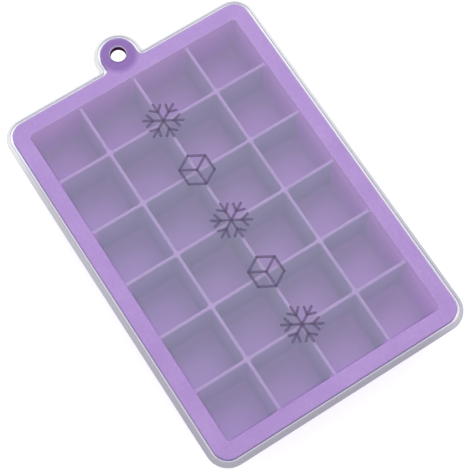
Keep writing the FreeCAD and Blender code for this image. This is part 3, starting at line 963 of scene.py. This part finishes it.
class ICETRAY_OT_tray(bpy.types.Operator):
    """Build the silicone tray with its cells, rim, hanging tab and grooved underside"""

    bl_idname = "icetray.tray"
    bl_label = "Silicone tray"

    def execute(self, context):
        settings = context.scene.ice_tray
        tray = settings.tray
        mesh = closed_mesh("silicone_tray_skin", tray_upper(tray) + tray_lower(tray) + tray_edge(tray))
        finish = silicone_material(settings.colours, tray)
        place_piece("tray_skin", mesh, finish, ("silicone_tray",))
        return {"FINISHED"}


class ICETRAY_OT_lid(bpy.types.Operator):
    """Build the clear lid with its rounded shoulder, skirt and lip"""

    bl_idname = "icetray.lid"
    bl_label = "Clear lid"

    def execute(self, context):
        settings = context.scene.ice_tray
        tray, lid = settings.tray, settings.lid
        mesh = closed_mesh("clear_lid_skin", [lid_rings(tray, lid), lid_hole(tray, lid)])
        finish = lid_material(settings.colours, tray, lid)
        place_piece("lid_skin", mesh, finish, ("clear_lid",))
        return {"FINISHED"}


class ICETRAY_OT_pattern(bpy.types.Operator):
    """Build the raised frost pattern on the lid"""

    bl_idname = "icetray.pattern"
    bl_label = "Frost pattern"

    def execute(self, context):
        settings = context.scene.ice_tray
        pattern = settings.pattern
        strokes = pattern_strokes(pattern, field_centre(settings.tray))
        points, faces = raised_strokes(strokes, pattern.stroke, pattern.relief, LID_HIGH.z)
        mesh, shape = new_shape("frost_pattern", points, faces)
        finish_shape(mesh, shape)
        place_piece("lid_pattern", mesh, pattern_material(settings.colours))
        return {"FINISHED"}


class ICETRAY_OT_stage(bpy.types.Operator):
    """Lay the floor, hang the lamps and set up the camera"""

    bl_idname = "icetray.stage"
    bl_label = "Stage"

    def execute(self, context):
        lay_floor(context.scene.ice_tray.colours)
        hang_lamps()
        place_camera()
        context.scene.view_settings.view_transform = "Standard"
        return {"FINISHED"}


def lay_floor(colours):
    """A wide flat floor just below the height that the tray stands on."""
    reach, level = 3.0, -0.02 * MM
    corners = ((-reach, -reach), (reach, -reach), (reach, reach), (-reach, reach))
    mesh = bpy.data.meshes.new("studio_floor")
    mesh.from_pydata([(*corner, level) for corner in corners], [], [(0, 1, 2, 3)])
    mesh.materials.append(floor_material(colours))
    floor = bpy.data.objects.new("studio_floor", mesh)
    bpy.context.scene.collection.objects.link(floor)


def hang_lamps(sky_strength=0.79):
    """Two big soft lamps that aren't mirrored in the lid, and an even white sky."""
    lamps = (
        ("top_lamp", (0.36, 0.60, 1.34), 0.9, 9.0),
        ("back_lamp", (0.35, 1.75, 1.30), 1.0, 9.0),
    )
    for name, place, size, power in lamps:
        lamp = bpy.data.lights.new(name, "AREA")
        lamp.shape = "DISK"
        lamp.size = size
        lamp.energy = power
        holder = bpy.data.objects.new(name, lamp)
        holder.location = place
        holder.rotation_euler = (-Vector(place)).to_track_quat("-Z", "Y").to_euler()
        holder.visible_glossy = False
        bpy.context.scene.collection.objects.link(holder)
    sky = bpy.data.worlds.new("studio_sky")
    sky.use_nodes = True
    light = sky.node_tree.nodes["Background"].inputs
    light["Color"].default_value = solid(WHITE)
    light["Strength"].default_value = sky_strength
    bpy.context.scene.world = sky


def place_camera():
    """The photograph's view: high over the near left corner of the tray, looking down at its middle."""
    stand = Vector((-0.14589, -0.21999, 0.75059))
    target = Vector((-0.00243, -0.01484, 0.029))
    roll = math.radians(2.305)
    camera = bpy.data.cameras.new("camera")
    camera.lens, camera.sensor_width = 121.18, 36.0
    camera.clip_start, camera.clip_end = 0.01, 20.0
    turn = (target - stand).to_track_quat("-Z", "Y").to_matrix().to_4x4()
    holder = bpy.data.objects.new("camera", camera)
    holder.matrix_world = Matrix.Translation(stand) @ turn @ Matrix.Rotation(roll, 4, "Z")
    bpy.context.scene.collection.objects.link(holder)
    bpy.context.scene.camera = holder


class ICETRAY_PT_panel(bpy.types.Panel):
    """Sidebar panel with the sizes, the colours and the build steps"""

    bl_idname = "ICETRAY_PT_panel"
    bl_label = "Ice tray"
    bl_space_type = "VIEW_3D"
    bl_region_type = "UI"
    bl_category = "Ice tray"

    def draw(self, context):
        settings = context.scene.ice_tray
        for title, group in (("Tray", settings.tray), ("Lid", settings.lid), ("Pattern", settings.pattern),
                             ("Colours", settings.colours)):
            box = self.layout.box()
            box.label(text=title)
            for key in group.__annotations__:
                box.prop(group, key)
        for operator in STEPS:
            self.layout.operator(operator.bl_idname)


STEPS = (ICETRAY_OT_tray, ICETRAY_OT_lid, ICETRAY_OT_pattern, ICETRAY_OT_stage)
CLASSES = (TraySizes, LidSizes, PatternSizes, TrayColours, IceTray, *STEPS, ICETRAY_PT_panel)


def register():
    for cls in CLASSES:
        bpy.utils.register_class(cls)
    bpy.types.Scene.ice_tray = PointerProperty(type=IceTray)


def unregister():
    del bpy.types.Scene.ice_tray
    for cls in reversed(CLASSES):
        bpy.utils.unregister_class(cls)


def main():
    """Builds the pieces and the stage."""
    register()
    bpy.ops.icetray.tray()
    bpy.ops.icetray.lid()
    bpy.ops.icetray.pattern()
    bpy.ops.icetray.stage()


if __name__ == "__main__":
    main()
